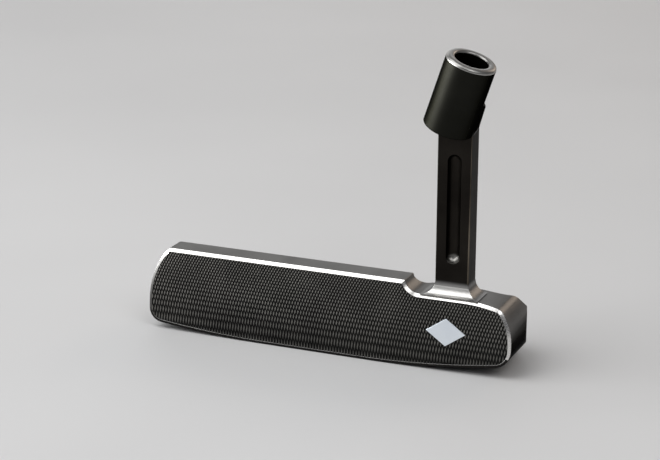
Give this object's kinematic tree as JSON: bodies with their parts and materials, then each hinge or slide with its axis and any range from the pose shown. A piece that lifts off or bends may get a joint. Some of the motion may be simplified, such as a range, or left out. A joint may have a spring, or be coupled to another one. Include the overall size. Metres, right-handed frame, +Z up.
{
  "type": "putter head",
  "caption": "Blade putter head with a milled face, offset flat-bar neck and forward hosel sleeve with a blind shaft bore.",
  "frame": {"origin": "on the flat of the sole, midway between toe and heel, 12 mm behind the leading edge", "axes": "+X from toe to heel, -Y where the face looks, +Z up"},
  "size_m": [0.1108, 0.0327, 0.0913],
  "materials": {
    "head_steel": "satin dark oxide, bright on the edges",
    "face_black": "matt black oxide over milled steel",
    "pad_rubber": "matt",
    "screw_steel": "black oxide",
    "emblem_silver": "satin",
    "neck_black": "satin dark oxide",
    "sleeve_steel": "satin dark oxide",
    "weight_steel": "turned",
    "ring_rubber": "matt",
    "sight_paint": "matt white paint"
  },
  "bodies": {
    "root": {"head_body": "head_steel", "face_insert": "face_black", "face_pad": "pad_rubber", "face_screws": "screw_steel", "face_emblem": "emblem_silver", "neck": "neck_black", "neck_bolt": "screw_steel", "hosel_tube": "sleeve_steel", "toe_weight": "weight_steel", "heel_weight": "weight_steel", "toe_weight_ring": "ring_rubber", "heel_weight_ring": "ring_rubber", "sight_line": "sight_paint"}
  },
  "joints": []
}
